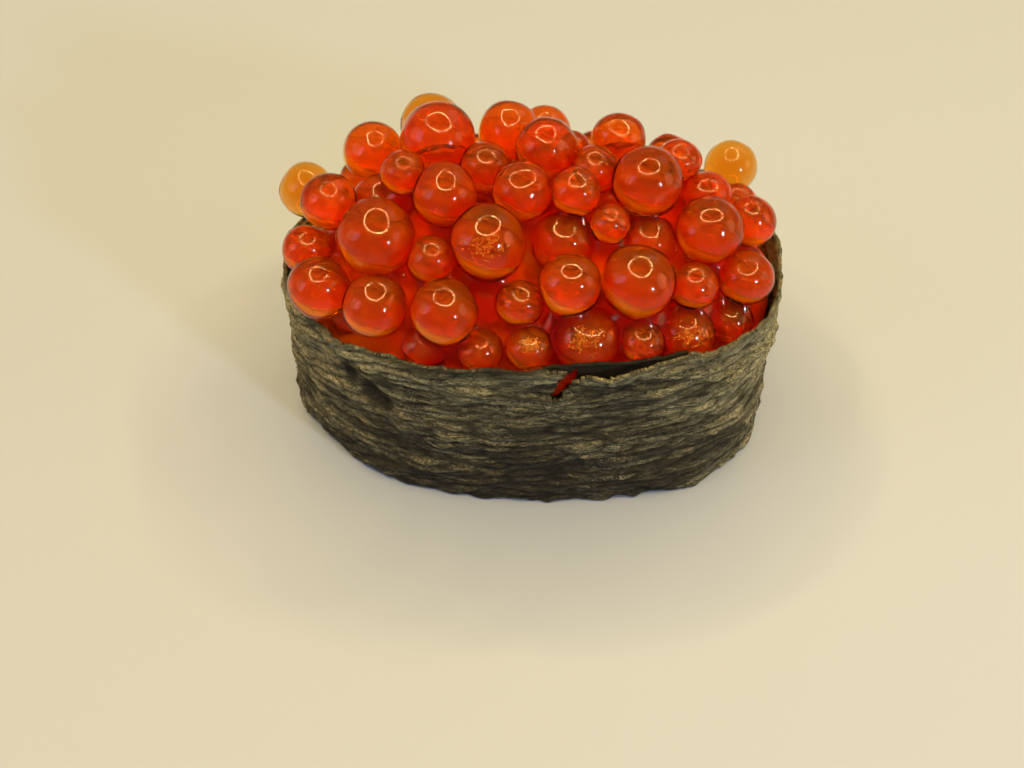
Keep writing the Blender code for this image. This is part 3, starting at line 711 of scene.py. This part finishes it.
def pressed_eggs(centres, radii, steps, lumps):
    """Balls that press flat against each other: past the plane where two balls cut, a point is drawn back
    on to it along the line between their centres, softly, so that the flat has a round edge. The balls are
    a little lumpy: their radius swells by a few sine waves over the direction.
    """
    unit, walls, caps = ball_grid(*steps)
    draw = np.random.default_rng(21)
    bodies = []
    for index, (centre, radius) in enumerate(zip(centres, radii)):
        waves = draw.normal(0, LUMP_TURN, (LUMP_WAVES, 3))
        swell = np.sin(unit @ waves.T + draw.uniform(0, 2 * np.pi, LUMP_WAVES)).sum(axis=1)
        body = unit * radius * (1 + lumps * swell)[:, None]
        offset = centres - centre
        distance = np.linalg.norm(offset, axis=1)
        near = (distance < radius + radii) & (np.arange(len(radii)) != index)
        for to, far, other in zip(offset[near], distance[near], radii[near]):
            plane = (far ** 2 + radius ** 2 - other ** 2) / (2 * far) - BETWEEN_EGGS
            past = body @ (to / far) - plane
            pulled = FLAT_EDGE * (np.logaddexp(0, past / FLAT_EDGE) - np.logaddexp(0, -plane / FLAT_EDGE))
            body = body - np.clip(pulled, 0, None)[:, None] * (to / far)
        bodies.append(body + centre)
    return np.vstack(bodies), copies_of(unit, walls, caps, len(radii))


# Egg gel: clear orange-red gel in a wet skin, which gives sharp highlights. The colour is in its depth: where
# an egg is thin it is orange, where it is deep it is red
egg_gel, tree = new_finish("egg_gel")
shader = node(tree, "ShaderNodeBsdfPrincipled", Base_Color=tone("fff0e0"), Roughness=0.03, IOR=1.10,
              Transmission_Weight=1.0, Coat_Weight=0.75, Coat_Roughness=0.1, Coat_IOR=1.35)
depths = node(tree, "ShaderNodeVolumeAbsorption", Color=(0.972, 0.73, 0.0, 1.0), Density=900.0)
node(tree, "ShaderNodeOutputMaterial", Surface=shader.outputs["BSDF"], Volume=depths.outputs["Volume"])

CENTRES, RADII = heaped_eggs()
eggs = piece_from("eggs", *pressed_eggs(CENTRES, RADII, EGG_STEPS, EGG_LUMPS), egg_gel)
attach(eggs, "root")
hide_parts("roe")

# Yolks
# The denser middle of each egg, a slightly cloudy gel that fills most of its skin and floats high in it.
# Three eggs that stand free of the heap are clear all through, so they have none.

YOLK_SIZE = 0.87
YOLK_RISE = np.array((0.01, 0.03, 0.02))
# Painted light at each yolk's foot: a pale crescent low in it, where light from above would gather; its
# direction, where it starts and how deep it grows
YOLK_FOOT = (-0.28, -0.12, -0.95)
YOLK_FOOT_FROM = 0.08
YOLK_FOOT_DEPTH = 0.38
YOLK_LUMPS = 0.012
YOLK_STEPS = (30, 18)

# Clear eggs and eggs with oil are told by the place in plan of each
CLEAR_EGGS = ((-21.4, 4.4), (-9.6, 12.2), (19.7, 8.1))


def eggs_at(places):
    """Index of the egg nearest each place in plan."""
    return np.argmin(np.linalg.norm(np.array(places)[:, None] - CENTRES[:, :2], axis=2), axis=1)


def yolk_bodies(cloudy):
    """Copies of some of the pressed eggs, each shrunk about its egg's centre and shifted by a share of its
    radius, and how far each corner is down at the yolk's foot, where a pale crescent of painted light goes.
    """
    unit, walls, caps = ball_grid(*YOLK_STEPS)
    bodies = pressed_eggs(CENTRES, RADII, YOLK_STEPS, YOLK_LUMPS)[0].reshape(len(RADII), -1, 3)[cloudy]
    middles = CENTRES[cloudy][:, None, :]
    bodies = middles + (bodies - middles) * YOLK_SIZE + RADII[cloudy][:, None, None] * YOLK_RISE
    foot = np.tile(eased((unit @ YOLK_FOOT - YOLK_FOOT_FROM) / YOLK_FOOT_DEPTH), len(cloudy))
    return bodies.reshape(-1, 3), copies_of(unit, walls, caps, len(cloudy)), foot


# Yolk gel: clear orange. At its foot it is cloudier and painted pale yellow, a painted light that stands in
# for light from above gathered there as a pale crescent
yolk_gel, tree = new_finish("yolk_gel")
foot = node(tree, "ShaderNodeAttribute", {"attribute_name": "foot"}).outputs["Fac"]
clear = node(tree, "ShaderNodeMapRange", Value=foot, To_Min=0.85, To_Max=0.3).outputs["Result"]
# Painted light: pale yellow at the foot
orange_and_painted_light = node(tree, "ShaderNodeMix", {"data_type": "RGBA"}, _0=foot, _6=tone("ffa428"), _7=tone("ffc400"))
shader = node(tree, "ShaderNodeBsdfPrincipled", Base_Color=orange_and_painted_light.outputs[2], Roughness=0.05, IOR=1.06,
              Transmission_Weight=clear)
depths = node(tree, "ShaderNodeVolumeAbsorption", Color=(0.985, 0.96, 0.3, 1.0), Density=900.0)
node(tree, "ShaderNodeOutputMaterial", Surface=shader.outputs["BSDF"], Volume=depths.outputs["Volume"])

cloudy_eggs = np.setdiff1d(np.arange(len(RADII)), eggs_at(CLEAR_EGGS))
yolk_corners, yolk_faces, yolk_painted_light = yolk_bodies(cloudy_eggs)
yolks = piece_from("yolks", yolk_corners, yolk_faces, yolk_gel)
yolks.data.attributes.new("foot", "FLOAT", "POINT").data.foreach_set("value", yolk_painted_light.astype(np.float32))
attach(yolks, "root")
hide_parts("roe")

# Oil drops
# Droplets of golden oil, which gather in a cluster under the skin of an egg. They show in four eggs towards
# the front, where light from above makes them sparkle.

OIL_EGGS = ((-0.2, -12.5), (5.2, -12.5), (14.5, -12.0), (-4.1, -5.3))
OIL_DROPS = 160
OIL_DROP_RADII = (0.05, 0.12)
OIL_DROP_STEPS = (8, 5)
OIL_DEPTH = 0.93
OIL_TOWARDS = (0.0, -0.62, 0.78)
OIL_STRAY = 0.22
OIL_SPREAD = (0.255, 0.17, 0.17)


def oil_drops():
    """A cluster of droplets in each of a few eggs: spots on a cap under its skin, towards the front, thickest
    at the cap's middle.
    """
    draw = np.random.default_rng(33)
    rows = eggs_at(OIL_EGGS)
    towards = np.array(OIL_TOWARDS) + draw.uniform(-OIL_STRAY, OIL_STRAY, (len(rows), 3))
    spots = towards[:, None, :] + draw.normal(0, 1, (len(rows), OIL_DROPS, 3)) * OIL_SPREAD
    spots /= np.linalg.norm(spots, axis=2)[..., None]
    spots = CENTRES[rows][:, None, :] + spots * (RADII[rows] * OIL_DEPTH)[:, None, None]
    size = draw.uniform(*OIL_DROP_RADII, (len(rows), OIL_DROPS))
    unit, walls, caps = ball_grid(*OIL_DROP_STEPS)
    corners = spots[:, :, None, :] + unit * size[..., None, None]
    return corners.reshape(-1, 3), copies_of(unit, walls, caps, size.size)


# Golden oil: denser to light than the gel round it, so each drop has a bright rim
golden_oil, tree = new_finish("golden_oil")
shader = node(tree, "ShaderNodeBsdfPrincipled", Base_Color=tone("ffa62c"), Roughness=0.15, IOR=1.47,
              Transmission_Weight=0.4)
node(tree, "ShaderNodeOutputMaterial", Surface=shader.outputs["BSDF"])

oil = piece_from("oil_drops", *oil_drops(), golden_oil)
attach(oil, "root")
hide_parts("roe")

# Eggs below
# More eggs of the same gel lie under those that show. They fill the heap down to the rice and are seen dimly
# through the others.

LOW_ROW = 3.9
LOW_COLUMN = 4.4
LOW_LAYER = 3.6
LOW_STRAY = 0.6
LOW_STRAY_UP = 0.4
LOW_RADII = (2.2, 2.9)
LOW_SMALLEST = 1.6
LOW_OVERLAP = 0.5
LOW_TO_BAND = 0.2
LOW_ABOVE_RICE = 2.0
LOW_LUMPS = 0.006
LOW_STEPS = (24, 14)


def eggs_below():
    """Centres and radii of eggs on a grid of rows one egg apart, kept where no egg that shows is near."""
    draw = np.random.default_rng(9)
    columns, rows, layers = np.meshgrid(np.arange(-6, 7), np.arange(-4, 5), np.arange(2), indexing="ij")
    x = (columns + 0.5 * ((rows + layers) % 2)).ravel() * LOW_COLUMN
    y = rows.ravel() * LOW_ROW
    spots = np.stack([x, y], axis=1) + draw.uniform(-LOW_STRAY, LOW_STRAY, (x.size, 2))
    z = heap_height(*spots.T) - LOW_LAYER - LOW_LAYER * layers.ravel()
    spots = np.column_stack([spots, z + draw.uniform(-LOW_STRAY_UP, LOW_STRAY_UP, x.size)])
    room = (np.linalg.norm(spots[:, None] - CENTRES, axis=2) - RADII).min(axis=1)
    size = np.minimum(draw.uniform(*LOW_RADII, x.size), room + LOW_OVERLAP)
    depth, _ = depth_in(spots[:, :2], BAND_INSIDE)
    keep = (size > LOW_SMALLEST) & (depth > size + LOW_TO_BAND) & (spots[:, 2] > RICE_TOP + LOW_ABOVE_RICE)
    return spots[keep], size[keep]


low_eggs = piece_from("eggs_below", *pressed_eggs(*eggs_below(), LOW_STEPS, LOW_LUMPS), egg_gel)
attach(low_eggs, "root")
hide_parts("roe")

# Core and juice
# Thin clear red juice wets the eggs and stands in the hollows between them. The core under it stands for the
# eggs that are too deep to make out. Both lie on the rice and fill the band from side to side.

JUICE_DROP = 0.1
JUICE_CAP_WIDTH = 1.4
JUICE_BLEND = 3.0
JUICE_BELOW_RIM = 1.2
JUICE_CLIMB = 1.5
JUICE_RIPPLE = 0.06
JUICE_RIPPLES = (31, 30, 2.0, 2.0)
JUICE_GRID = (280, 70)
CORE_SINK = 4.2
CORE_UNDER_JUICE = 2.0
CORE_GRID = (120, 24)
ABOVE_RICE = 0.1


def dome(count, rings, height):
    """Closed dome on the rice: loops of the band's inside, drawn in to the middle ring by ring, each point at
    the height that a function gives over it.
    """
    loop = steps_round(on_plan(PLAN_ALONG, SHEET_ROOM + EGG_TO_BAND + lap_depth(PLAN_ALONG)), count)
    loops = [np.column_stack([loop, np.full(count, RICE_TOP + ABOVE_RICE)])]
    loops += [np.column_stack([loop * out, height(loop * out)]) for out in np.linspace(1, 0.01, rings)]
    return lidded(np.array(loops))


def juice_height(spots):
    """Top of the juice: each egg holds up a cap, a paraboloid from just under its middle, and the caps run
    together as log(sum(exp(k z))) / k, with faint ripples. Beside the band the juice stays under the rim.
    """
    flat = ((spots[:, None, :] - CENTRES[:, :2]) ** 2).sum(axis=2)
    cap = CENTRES[:, 2] - JUICE_DROP * RADII - flat / (JUICE_CAP_WIDTH * RADII)
    top = cap.max(axis=1)
    height = top + np.log(np.exp(JUICE_BLEND * (cap - top[:, None])).sum(axis=1)) / JUICE_BLEND
    height = height + JUICE_RIPPLE * ripples(*spots.T, *JUICE_RIPPLES)
    depth, nearest = depth_in(spots, BAND_INSIDE)
    return np.minimum(height, BAND_TOP[nearest] - JUICE_BELOW_RIM + JUICE_CLIMB * (depth - EGG_TO_BAND))


def core_height(spots):
    """Top of the core: the heap's height, lowered, and kept well under the juice's top."""
    return np.minimum(heap_height(*spots.T) - CORE_SINK, juice_height(spots) - CORE_UNDER_JUICE)


# Deep roe: a cloudy pale mass, so light that has come down through the red gel goes back up through it
deep_roe, tree = new_finish("deep_roe")
shader = node(tree, "ShaderNodeBsdfPrincipled", Base_Color=tone("ffe0b0"), Roughness=0.3, IOR=1.38)
node(tree, "ShaderNodeOutputMaterial", Surface=shader.outputs["BSDF"])

# Roe juice: a clear watery syrup, redder than the gel, with a wet shine
roe_juice, tree = new_finish("roe_juice")
shader = node(tree, "ShaderNodeBsdfPrincipled", Base_Color=tone("fff0e0"), Roughness=0.02, IOR=1.04,
              Transmission_Weight=1.0, Coat_Weight=0.75, Coat_Roughness=0.1, Coat_IOR=1.35)
depths = node(tree, "ShaderNodeVolumeAbsorption", Color=(0.955, 0.67, 0.0, 1.0), Density=1500.0)
node(tree, "ShaderNodeOutputMaterial", Surface=shader.outputs["BSDF"], Volume=depths.outputs["Volume"])

core = piece_from("roe_core", *dome(*CORE_GRID, core_height), deep_roe)
juice = piece_from("roe_juice", *dome(*JUICE_GRID, juice_height), roe_juice)
for piece in (core, juice):
    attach(piece, "root")
    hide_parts("roe")

# Floor, lights and camera
# A plain matt blue-grey card, which warm light turns cream. A ring of warm lamps hangs over the piece, with a
# wide warm lamp at each side, a cool window to the left, a small white lamp in front and a soft panel behind.

FLOOR_REACH = 900.0
matt_card, tree = new_finish("matt_blue_grey_card")
shader = node(tree, "ShaderNodeBsdfPrincipled", Base_Color=tone("92a3c4"), Roughness=0.6)
node(tree, "ShaderNodeOutputMaterial", Surface=shader.outputs["BSDF"])
floor_corners = np.array([(-1, -1, 0), (1, -1, 0), (1, 1, 0), (-1, 1, 0)]) * FLOOR_REACH
floor = piece_from("floor", floor_corners, [np.array([[0, 1, 2, 3]])], matt_card)

LIT_MIDDLE = (0.0, 0.0, 18.0)
RING_LAMPS = 20
RING_RADIUS = 230.0
RING_TUBE = 21.0
RING_MIDDLE = (30.0, 65.0, 390.0)
RING_POWER = 0.28
RING_COLOUR = "ffd484"

# Lamps: name, place, width and height, power and colour
LAMPS = (
    ("window", (-360, -153, 240), (130, 260), 0.2, "c8ccff"),
    ("spark", (216, -233, 164), (38, 38), 0.42, "ffffff"),
    ("warm_left", (-420, -70, 180), (260, 260), 0.35, "ffdca0"),
    ("warm_right", (430, -70, 180), (260, 260), 0.5, "ffdca0"),
    ("panel", (360, 380, 420), (320, 320), 0.2, "fff0d8"),
)


def lamp(name, at, size, power, colour):
    """An oval area lamp at a place in millimetres, turned to the middle of the piece."""
    light = bpy.data.lights.new(name, "AREA")
    light.shape = "ELLIPSE"
    light.size, light.size_y = size[0] * 0.001, size[1] * 0.001
    light.energy = power
    light.color = tone(colour)[:3]
    made = bpy.data.objects.new(name, light)
    bpy.context.scene.collection.objects.link(made)
    made.location = np.array(at) * 0.001
    made.rotation_euler = Vector(np.array(LIT_MIDDLE) - at).to_track_quat("-Z", "Y").to_euler()
    made.visible_camera = False
    return made


for turn in 2 * np.pi * np.arange(RING_LAMPS) / RING_LAMPS:
    at = np.array(RING_MIDDLE) + RING_RADIUS * np.array((np.cos(turn), np.sin(turn), 0.0))
    part = lamp("ring", at, (2 * np.pi * RING_RADIUS / RING_LAMPS, RING_TUBE), RING_POWER, RING_COLOUR)
    part.data.shape = "RECTANGLE"
    part.rotation_euler = (0, 0, turn + np.pi / 2)
for settings in LAMPS:
    lamp(*settings)

world = bpy.data.worlds.new("studio")
bpy.context.scene.world = world
world.use_nodes = True
world.node_tree.nodes["Background"].inputs["Color"].default_value = tone("fff1d8")
world.node_tree.nodes["Background"].inputs["Strength"].default_value = 0.12

CAMERA_AT = (-1.7, -96.4, 114.9)
CAMERA_DOWN = 50.0
FOCAL_PIXELS = 1400.0
PICTURE_WIDTH = 1024
view = bpy.data.cameras.new("camera")
view.sensor_width = 36.0
view.lens = view.sensor_width * FOCAL_PIXELS / PICTURE_WIDTH
view.clip_start = 0.005
camera = bpy.data.objects.new("camera", view)
camera.location = np.array(CAMERA_AT) * 0.001
camera.rotation_euler = (np.radians(90 - CAMERA_DOWN), 0, 0)
bpy.context.scene.collection.objects.link(camera)
bpy.context.scene.camera = camera
bpy.context.scene.view_settings.view_transform = "Standard"
